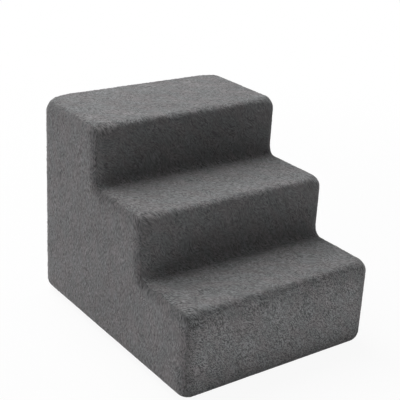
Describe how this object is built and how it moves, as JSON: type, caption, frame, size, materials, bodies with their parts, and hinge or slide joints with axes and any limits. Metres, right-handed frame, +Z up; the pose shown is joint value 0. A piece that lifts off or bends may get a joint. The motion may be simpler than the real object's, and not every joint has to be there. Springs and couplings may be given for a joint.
{
  "type": "pet stairs",
  "caption": "Foam pet stairs with rounded steps in a short-pile plush cover that unzips at the back.",
  "frame": {"origin": "on the floor, in the middle of the footprint", "axes": "+X across the treads to the right seen from the front, +Y from the lowest riser to the back, +Z up"},
  "size_m": [0.4, 0.49, 0.39],
  "materials": {
    "plush": "matte",
    "foam": "matte",
    "grip_cloth": "matte",
    "zip_tape": "matte",
    "zip_teeth": "satin",
    "zip_metal": "satin"
  },
  "bodies": {
    "stairs": {"foam_base_slab": "foam", "foam_middle_slab": "foam", "foam_top_slab": "foam", "cover_step_panel": "plush", "cover_left_panel": "plush", "cover_right_panel": "plush", "cover_back_panel": "plush", "cover_back_strip": "plush", "cover_bottom_panel": "grip_cloth", "zip_tape_upper": "zip_tape", "zip_tape_lower": "zip_tape", "zip_teeth_upper": "zip_teeth", "zip_teeth_lower": "zip_teeth", "zip_top_stops": "zip_metal", "zip_bottom_stop": "zip_metal"},
    "slider": {"zip_slider": "zip_metal"},
    "pull_tab": {"zip_pull_tab": "zip_metal"}
  },
  "joints": [
    {"name": "zip_slide", "type": "slide", "parent": "stairs", "child": "slider", "axis": [-1, 0, 0], "range_m": [0, 0.3008], "deforming": ["zip_teeth_upper", "zip_teeth_lower"]},
    {"name": "tab_hinge", "type": "hinge", "parent": "slider", "child": "pull_tab", "pos_m": [0.1553, 0.24315, 0.046], "axis": [0, 0, -1], "range_deg": [0, 160]}
  ]
}
